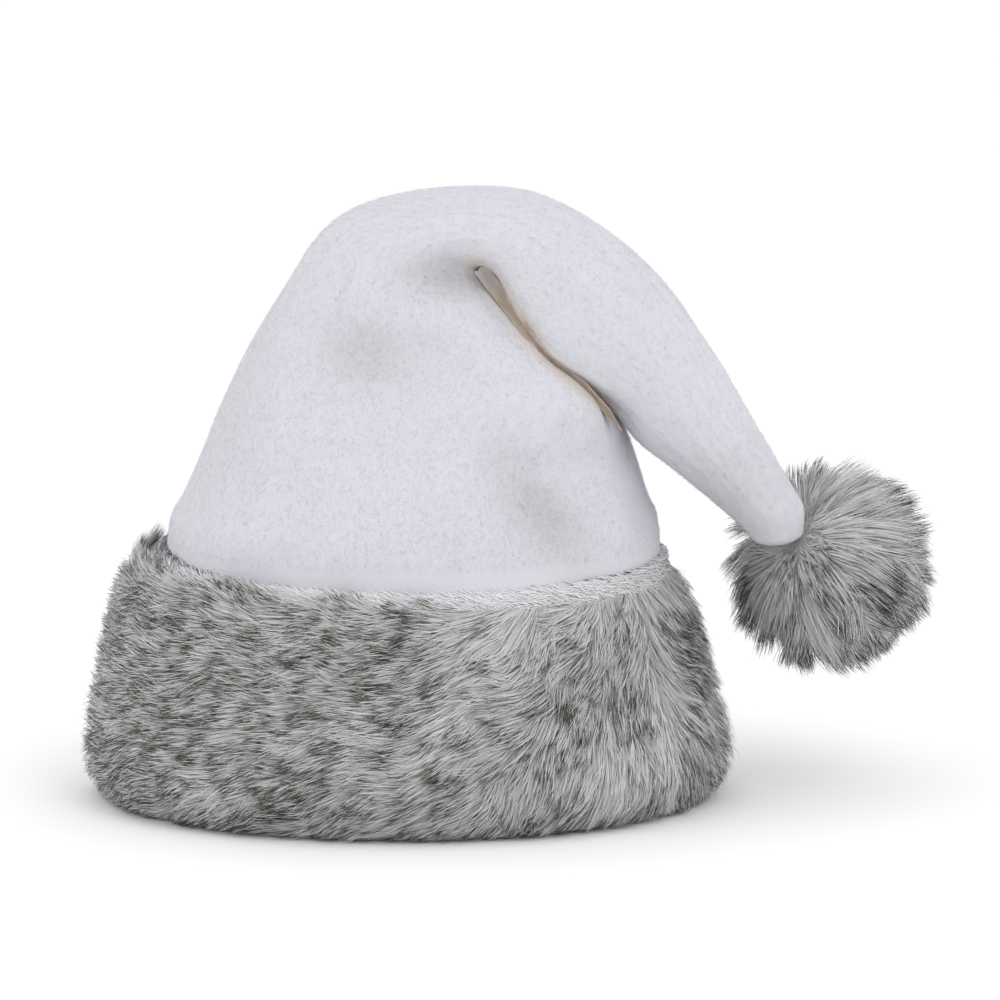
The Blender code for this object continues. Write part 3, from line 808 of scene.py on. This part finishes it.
GROUND_GREY = (0.30, 0.30, 0.30, 1)
GROUND_PALE = (0.44, 0.44, 0.43, 1)
ground_cloth = Finish("fur ground cloth", Roughness=0.95, Specular_IOR_Level=0.1)
place = ground_cloth.place()
knit = ground_cloth.node("ShaderNodeTexVoronoi", None, {"Vector": place, "Scale": 700.0})
tint = ground_cloth.noise(place, 90.0)
ground_cloth.set(
    Base_Color=ground_cloth.mix(tint.eased(0.3, 0.7), GROUND_GREY, GROUND_PALE),
    Normal=ground_cloth.bump(knit, 0.6, 0.0006),
)
bm = bmesh.new()
loft(bm, in_frame(np.array(ground_loops)), closed=True)
cuff_ground = piece_from(bm, "cuff_ground", ground_cloth.material)

# %% [markdown]
# Long fur is combed, and it parts into tufts. Over the front the comb runs nearly level to the
# left, and it turns down towards the right end, where it falls steeply. Each hair starts in the
# ground, follows the comb in short steps over the curved cloth, and is drawn towards the middle of
# its tuft as it goes. Tufts point a little differently from their neighbours, so they overlap.

# %% The comb
# turn in degrees from the right end, through the back, the left end and the front: heading in
# degrees, where 0 is along the turn, 90 up, 180 against the turn and 270 down
COMB = (
    (0, 302), (45, 330), (80, 340), (110, 270), (140, 205), (180, 190), (205, 190), (235, 190),
    (262, 189), (280, 198), (291, 215), (303, 230), (318, 238), (325, 258), (330, 288), (345, 300),
    (360, 302),
)
COMB_TILT = 28.0
SMALL = 0.01
HIGHEST_TIP = 0.96
LOWEST_TIP = -0.03
SHORT_HAIR_UP_TO = 0.22


def combed(turn, share):
    """The heading of the fur, in radians: a little more downwards near the bottom."""
    turns_at, headings = np.array(COMB, float).T
    heading = np.interp(np.degrees(turn) % 360.0, turns_at, headings)
    return np.radians(heading + COMB_TILT * (0.5 - share))


def comb_paths(turn, share, swing, length, height, stations):
    """Hairs that start on the ground and follow the comb. Returns their paths, the outward
    directions along them, and the turn and share at their tips."""
    paths, outs = [], []
    parts = STATIONS[stations]
    climb = np.sin(combed(turn, share) + swing) * length / CREST
    room = np.where(climb > 0, HIGHEST_TIP - share, share - LOWEST_TIP)
    length = length * np.clip(room / np.maximum(np.abs(climb), 1e-6), 0.3, 1.0)
    for part, beyond in zip(parts, parts[1:] + (1.0,)):
        step_length = length * (beyond - part) * SMALL
        here = on_ground(turn, share)
        around = on_ground(turn + SMALL, share) - here
        held = np.clip(share, 0.0, 1 - SMALL)
        upward = on_ground(turn, held + SMALL) - on_ground(turn, held)
        out = unit(np.cross(around, upward))
        stand = 0.3 * (1 - math.exp(-6 * part)) + 0.7 * part
        rise = height * stand * (0.5 + 0.5 * np.clip(share / SHORT_HAIR_UP_TO, 0, 1))
        paths.append(here + out * rise[:, None])
        outs.append(out)
        tip_turn, tip_share = turn, share
        heading = combed(turn, share) + swing
        turn = turn + np.cos(heading) * step_length / np.linalg.norm(around, axis=-1)
        share = share + np.sin(heading) * step_length / np.linalg.norm(upward, axis=-1)
    return np.stack(paths, axis=1), np.stack(outs, axis=1), tip_turn, tip_share


def nearest(points, centres):
    """The index of each point's nearest centre."""
    tree = KDTree(len(centres))
    for index, centre in enumerate(centres):
        tree.insert(centre, index)
    tree.balance()
    return np.array([tree.find(point)[1] for point in points])


front_comb = np.degrees(combed(np.radians(np.array((225.0, 270.0, 315.0))), 0.5))
print("heading on the front, from left to right:", front_comb.round())

# %% [markdown]
# The hair itself is pale at the root and nearly black at the tip, but not on every hair. Its first
# number, the tone, says how much of the tip is dark.

# %% Frosted hair
FUR_PALE = (0.70, 0.705, 0.69, 1)
FUR_DULL = (0.48, 0.48, 0.46, 1)
FUR_DARK = (0.03, 0.028, 0.027, 1)
DARK_STARTS = 0.9
DARK_GROWS = 0.42
DARK_SOFT = 0.12


def frosted(name, pale, dull, dark):
    """Hair read from its own chart: tones up to a half are pale all along, and above a half the
    tip is dark, over more of its length the higher the tone."""
    hair = Finish(name, Roughness=0.55, Specular_IOR_Level=0.25)
    tone, along = hair.chart()
    bare = 1 - tone.eased(0.49, 0.51)
    body = (tone * 2.0) * bare + ((tone * 90.0).sine() * 0.3 + 0.4) * (1 - bare)
    light = hair.mix(body.clamped(), pale, dull)
    tipped = ((tone - 0.5) * 2.0).clamped()
    brown = (tone * 60.0).sine() * 0.5 + 0.5
    deep = hair.mix(brown, dark, (dark[0] * 2.2, dark[1] * 1.7, dark[2] * 1.4, 1))
    start = DARK_STARTS - tipped * DARK_GROWS
    darkness = ((along - start) / DARK_SOFT).clamped() * tipped.eased(0.0, 0.08)
    hair.set(Base_Color=hair.mix(darkness, light, deep))
    return hair.material


cuff_hair = frosted("frosted hair", FUR_PALE, FUR_DULL, FUR_DARK)
print("frosted hair has", len(cuff_hair.node_tree.nodes), "nodes")

# %% [markdown]
# Neighbouring hairs of a tuft share their tone, which gives the streaks, and broader patches follow
# the photograph: darker on the left and at the right end, paler right of the middle. Four coats lie
# over one another, from short thick underfur to a few long guard hairs.

# %% The cuff's coats
# turn, share, reach in turn, reach in share, change of the share of dark tips
PATCHES = (
    (200, 0.35, 26, 0.50, 0.45),
    (226, 0.24, 34, 0.26, 0.38),
    (240, 0.62, 20, 0.18, 0.12),
    (255, 0.30, 14, 0.10, 0.22),
    (225, 0.80, 26, 0.05, 0.15),
    (273, 0.48, 12, 0.13, -0.38),
    (298, 0.77, 17, 0.17, -0.75),
    (301, 0.50, 11, 0.04, 0.75),
    (308, 0.31, 16, 0.11, -0.6),
    (325, 0.40, 5, 0.40, -0.7),
    (342, 0.60, 10, 0.60, 0.30),
    (262, -0.02, 60, 0.05, 0.06),
)
TUFTS = 2800
TUFT_SEED = 77
DARK_SHARE = 0.56
# up and down scale of the ripples, their size in millimetres, seed and strength
DARK_RIPPLES = ((330.0, 70.0, 6, 0.24), (480.0, 44.0, 7, 0.2), (330.0, 17.0, 8, 0.22))
# the turn up to which the fur is greyer: the back, the left end and the left of the front
GREYER_UP_TO = 4.7
FLOOR_HOLD = 0.4


def dark_chance(turn, share):
    """How likely a hair that ends here is to have a dark tip."""
    degrees = np.degrees(turn) % 360.0
    chance = np.full(len(turn), DARK_SHARE)
    for at, height, wide, tall, change in PATCHES:
        away = (degrees - at + 180.0) % 360.0 - 180.0
        chance += change * np.exp(-((away / wide) ** 2) - ((share - height) / tall) ** 2)
    for scale, size, seed, strength in DARK_RIPPLES:
        chance += ripple(turn, share * scale, size, seed) * strength
    return chance


def fur_bend(turn, share):
    """How far the comb swings to and fro in broad waves, in radians."""
    return ripple(turn, share * 110.0, 45.0, 5) * 0.26


def cuff_coat(name, hairs, seed, length, height, width, stations, drawn, dark):
    """One coat of combed hair all round the cuff. drawn says how far a tip is pulled to the middle
    of its tuft, and dark scales the share of dark tips."""
    rng = np.random.default_rng(seed)
    tuft_rng = np.random.default_rng(TUFT_SEED)
    tuft_turn = tuft_rng.uniform(0, 2 * math.pi, TUFTS)
    tuft_share = tuft_rng.uniform(0.0, 0.95, TUFTS)
    tuft_swing = tuft_rng.normal(0, 0.19, TUFTS)
    tuft_tone = tuft_rng.normal(0, 0.3, TUFTS)
    tuft_length = tuft_rng.uniform(0.8, 1.2, TUFTS)
    turn, share = rng.uniform(0, 2 * math.pi, hairs), rng.uniform(0.0, 0.9, hairs)
    tuft = nearest(on_ground(turn, share), on_ground(tuft_turn, tuft_share))
    lengths = length * tuft_length[tuft] * rng.uniform(0.75, 1.15, hairs)
    lifts = height * rng.uniform(0.35, 1.15, hairs)
    swing = fur_bend(turn, share) + tuft_swing[tuft] + rng.normal(0, 0.09, hairs)
    paths, outs, tip_turn, tip_share = comb_paths(turn, share, swing, lengths, lifts, stations)
    tuft_swing = fur_bend(tuft_turn, tuft_share) + tuft_swing
    tuft_lift = np.full(TUFTS, height * 0.9)
    middles, *_ = comb_paths(
        tuft_turn, tuft_share, tuft_swing, length * tuft_length, tuft_lift, stations
    )
    part = np.array(STATIONS[stations])[None, :, None]
    paths += (middles[tuft] - paths) * part**1.4 * drawn
    paths += rng.normal(0, 0.5, (hairs, 1, 3)) * part**2
    paths[..., 2] = np.maximum(paths[..., 2], FLOOR_HOLD)
    chance = (dark_chance(tip_turn, tip_share) + tuft_tone[tuft]) * dark
    tipped = rng.random(hairs) < chance
    greyer = tip_turn % (2 * math.pi) < GREYER_UP_TO
    shade = ripple(turn, share * 200.0, 90.0, 9) * 0.12 + greyer * 0.1
    dark_tone = rng.uniform(0.62, 1.0, hairs)
    pale_tone = np.clip(rng.normal(0.2, 0.09, hairs) + shade, 0, 0.46)
    tone = np.where(tipped, dark_tone, pale_tone)
    widths = width * rng.uniform(0.75, 1.25, hairs) * np.where(tipped, 0.85, 1.0)
    across = rolled_across(paths, outs, rng, 0.3)
    return hair_mesh(name, in_frame(paths), across, outs, widths * MM, tone, cuff_hair)


coats = [
    cuff_coat("cuff_underfur", 38000, 31, 16.0, 5.5, 0.46, 3, 0.25, 0.4),
    cuff_coat("cuff_fur", 39000, 32, 19.0, 8.0, 0.34, 4, 0.4, 1.0),
    cuff_coat("cuff_topfur", 38000, 33, 20.0, 9.5, 0.28, 4, 0.45, 1.35),
    cuff_coat("cuff_guard_hair", 14000, 34, 23.0, 10.5, 0.2, 4, 0.3, 1.6),
]

# %% [markdown]
# Along the fold at the top the fur opens and shows its white roots: a pale lip between the cuff
# and the crown, crossed by a few long dark hairs that have come to lie on the plush. Both lie
# leftwards, rising a little, and one array holds them: the strays are its last few hundred rows.

# %% The lip and the strays
LIP_HAIRS = 14000
STRAYS = 420


def lip_coat():
    """The pale lip all round the top of the cuff, with its stray dark hairs."""
    rng = np.random.default_rng(41)
    count = LIP_HAIRS + STRAYS
    stray = np.arange(count) >= LIP_HAIRS
    turn = rng.uniform(0, 2 * math.pi, count)
    share = np.where(stray, rng.uniform(0.93, 1.0, count), rng.uniform(0.86, 1.0, count))
    longer_left = 3 * (np.cos(turn) < -0.5)
    length = np.where(stray, rng.uniform(12, 24, count), rng.uniform(9, 15, count) + longer_left)
    height = np.where(stray, rng.uniform(2.5, 5, count), rng.uniform(1.0, 3.6, count))
    level = np.where(stray, rng.normal(0.42, 0.22, count), rng.normal(0.4, 0.16, count))
    heading = math.pi - level - 0.25 * (np.cos(turn) < -0.9)
    start = on_ground(turn, share)
    around = unit(on_ground(turn + 0.01, share) - start)
    out = unit(np.stack((np.cos(turn), np.sin(turn), np.full(count, 0.5)), axis=-1))
    up = unit(np.cross(around, out))
    up = np.where(up[:, 2:] < 0, -up, up)
    part = np.array(STATIONS[4])
    reach = (length[:, None] * part)[..., None]
    ahead = around[:, None] * np.cos(heading)[:, None, None] - out[:, None] * 0.055 * reach
    paths = start[:, None] + (ahead + up[:, None] * np.sin(heading)[:, None, None]) * reach
    paths += out[:, None] * (height[:, None] * (1 - (1 - part) ** 2))[..., None]
    outs = np.repeat(out[:, None], 4, axis=1)
    right_end = np.exp(-(((np.degrees(turn) - 331.0) / 16.0) ** 2))
    tipped = stray | (rng.random(count) < 0.04 + 0.5 * right_end)
    tone = np.where(tipped, rng.uniform(0.75, 1.0, count), rng.uniform(0.0, 0.16, count))
    width = np.where(stray, 0.24, 0.36) * rng.uniform(0.8, 1.2, count)
    across = rolled_across(paths, outs, rng, 0.25)
    return hair_mesh("cuff_lip", in_frame(paths), across, outs, width * MM, tone, lip_hair)


LIP_PALE = (0.80, 0.80, 0.81, 1)
LIP_DULL = (0.66, 0.66, 0.66, 1)
LIP_DARK = (0.04, 0.036, 0.034, 1)
lip_hair = frosted("lip hair", LIP_PALE, LIP_DULL, LIP_DARK)
coats.append(lip_coat())

# %% [markdown]
# ## The pompom
# A pompom is a ball of fur cloth gathered and sewn to the tail's tip. The ball under the fur is a
# small sphere that hardly shows.

# %% The ball
BALL_CENTRE = np.array((186.0, 13.0, 100.5))
BALL = 29.0
bm = bmesh.new()
middle = Matrix.Translation(in_frame(BALL_CENTRE))
bmesh.ops.create_icosphere(bm, subdivisions=4, radius=BALL * MM, matrix=middle)
pompom_ball = piece_from(bm, "pompom_ball", ground_cloth.material)

# %% [markdown]
# The hair grows outwards but lies back, away from the tail, so it streams over the ball. It gathers
# in broad tufts, and within them in finer wisps that sway. The white top, the darker side near the
# tail and the clumps of dark tips all come from the chance that a hair is tipped. The white top is
# painted light and the darker side painted shade: hairs that face the light get fewer dark tips,
# and those on the shaded side more.

# %% The pompom's fur
FUR_REACH = 51.0
UNDER_TAIL = 33.0
SEWN_WAY = unit(np.array((-0.555, -0.583, 0.594)))
# painted light and shade: the ways that the lit top and the shaded side face
LIT_WAY = unit(np.array((0.15, -0.5, 0.85)))
SHADED_WAY = unit(np.array((-0.2, -0.95, 0.22)))
POMPOM_DARK = 0.70
DROOP = np.array((0.0, 0.0, -0.25))


def pompom_coat(name, hairs, seed, width, reach, drawn):
    """Hair that leaves the ball and lies back, away from the tail, in tufts and finer wisps."""
    rng = np.random.default_rng(seed)
    tuft_rng = np.random.default_rng(5)
    tufts, wisps = 230, 2200
    part = np.array(STATIONS[5])[None, :, None]

    def stream(normals, reaches, bends, twists):
        """The paths of hairs with these normals. Close to the tail they stay short."""
        from_tail = np.degrees(np.arccos(np.clip(normals @ SEWN_WAY, -1, 1)))
        free = np.clip((from_tail - 17.0) / 14.0, 0.0, 1.0)
        away = unit(normals * (normals @ SEWN_WAY)[:, None] - SEWN_WAY)
        away = unit(away + DROOP * free[:, None])
        aside = np.cross(normals, away)
        away = away * np.cos(twists)[:, None] + aside * np.sin(twists)[:, None]
        bends = bends * np.clip((from_tail - 4.0) / 40.0, 0.15, 1.0)
        reaches = UNDER_TAIL + (reaches - UNDER_TAIL) * free
        ways = unit(normals[:, None] + away[:, None] * bends[:, None, None] * part)
        return BALL_CENTRE + ways * (BALL - 2 + (reaches[:, None, None] - BALL + 2) * part)

    tuft_normals = unit(tuft_rng.normal(0, 1, (tufts, 3)))
    tuft_reach = reach * tuft_rng.uniform(0.88, 1.03, tufts)
    tuft_bend = tuft_rng.uniform(0.6, 1.05, tufts)
    tuft_twist = tuft_rng.normal(0, 0.4, tufts)
    tuft_tone = tuft_rng.normal(0.0, 0.32, tufts)
    wisp_normals = unit(tuft_rng.normal(0, 1, (wisps, 3)))
    wisp_sway = tuft_rng.normal(0, 1.5, (wisps, 1, 3))
    wisp_tone = tuft_rng.normal(0.0, 0.25, wisps)
    normals = unit(rng.normal(0, 1, (hairs, 3)))
    tuft, wisp = nearest(normals, tuft_normals), nearest(normals, wisp_normals)
    twist = tuft_twist[tuft] + rng.normal(0, 0.1, hairs)
    reaches = tuft_reach[tuft] * rng.uniform(0.82, 1.03, hairs)
    paths = stream(normals, reaches, tuft_bend[tuft], twist)
    middles = stream(tuft_normals, tuft_reach, tuft_bend, tuft_twist)
    paths += (middles[tuft] - paths) * part**1.3 * drawn
    paths += wisp_sway[wisp] * part**1.5 + rng.normal(0, 0.5, (hairs, 1, 3)) * part**2
    outs = unit(paths - BALL_CENTRE)
    tips = outs[:, -1]
    # painted light: tips facing the light are paler and seldom dark; painted shade: tips on the
    # shaded side are more often dark
    white = np.clip((tips @ LIT_WAY - 0.55) / 0.4, 0, 1)
    shaded = np.exp(-((np.linalg.norm(tips - SHADED_WAY, axis=1) / 0.24) ** 2))
    chance = POMPOM_DARK + tuft_tone[tuft] + wisp_tone[wisp] - white * 0.6 + shaded * 0.6
    tipped = rng.random(hairs) < chance
    dark_tone = rng.uniform(0.6, 0.94, hairs)
    pale_tone = np.clip(rng.normal(0.14, 0.1, hairs) - white * 0.15, 0, 0.46)
    tone = np.where(tipped, dark_tone, pale_tone)
    across = rolled_across(paths, outs, rng, 0.3)
    widths = width * rng.uniform(0.75, 1.25, hairs) * np.where(tipped, 0.85, 1.0)
    return hair_mesh(name, in_frame(paths), across, outs, widths * MM, tone, cuff_hair)


pompom_fur = pompom_coat("pompom_fur", 25000, 51, 0.32, FUR_REACH, 0.5)

# %% [markdown]
# ## The floor, and the pieces on their body
# The floor is a plain pale sheet just under the hat. It is only a stage, not part of the hat.

# %% The floor
PAPER = (0.97, 0.97, 0.97, 1)
PAPER_PALE = (0.985, 0.985, 0.985, 1)
FLOOR_HALF = 14.0
FLOOR_DROP = 0.0004
paper = Finish("pale floor", Roughness=0.9, Specular_IOR_Level=0.1)
place = paper.place()
paper.set(Base_Color=paper.mix(paper.noise(place, 3.0).eased(0.3, 0.7), PAPER, PAPER_PALE))
bm = bmesh.new()
bmesh.ops.create_grid(bm, x_segments=1, y_segments=1, size=FLOOR_HALF)
bmesh.ops.translate(bm, vec=(0, 0, -FLOOR_DROP), verts=bm.verts)
floor = piece_from(bm, "floor", paper.material)

# %% [markdown]
# Every piece of the hat rides on the one body, and the CAD piece that it stands for is hidden.

# %% Pieces on their body
for piece, node, slot in (
    (crown_skin, "crown", "white_plush"),
    (crown_pile, "crown", "white_plush"),
    (cuff_ground, "cuff", "frosted_fur"),
    *((coat, "cuff", "frosted_fur") for coat in coats),
    (pompom_ball, "pompom", "frosted_fur"),
    (pompom_fur, "pompom", "frosted_fur"),
):
    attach(piece, "root")
    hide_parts(node)

graph = bpy.context.evaluated_depsgraph_get()
total = 0
for piece in (crown_skin, crown_pile, cuff_ground, *coats, pompom_ball, pompom_fur):
    shown = piece.evaluated_get(graph).to_mesh()
    total += sum(len(face.vertices) - 2 for face in shown.polygons)
print("triangles in all:", total)
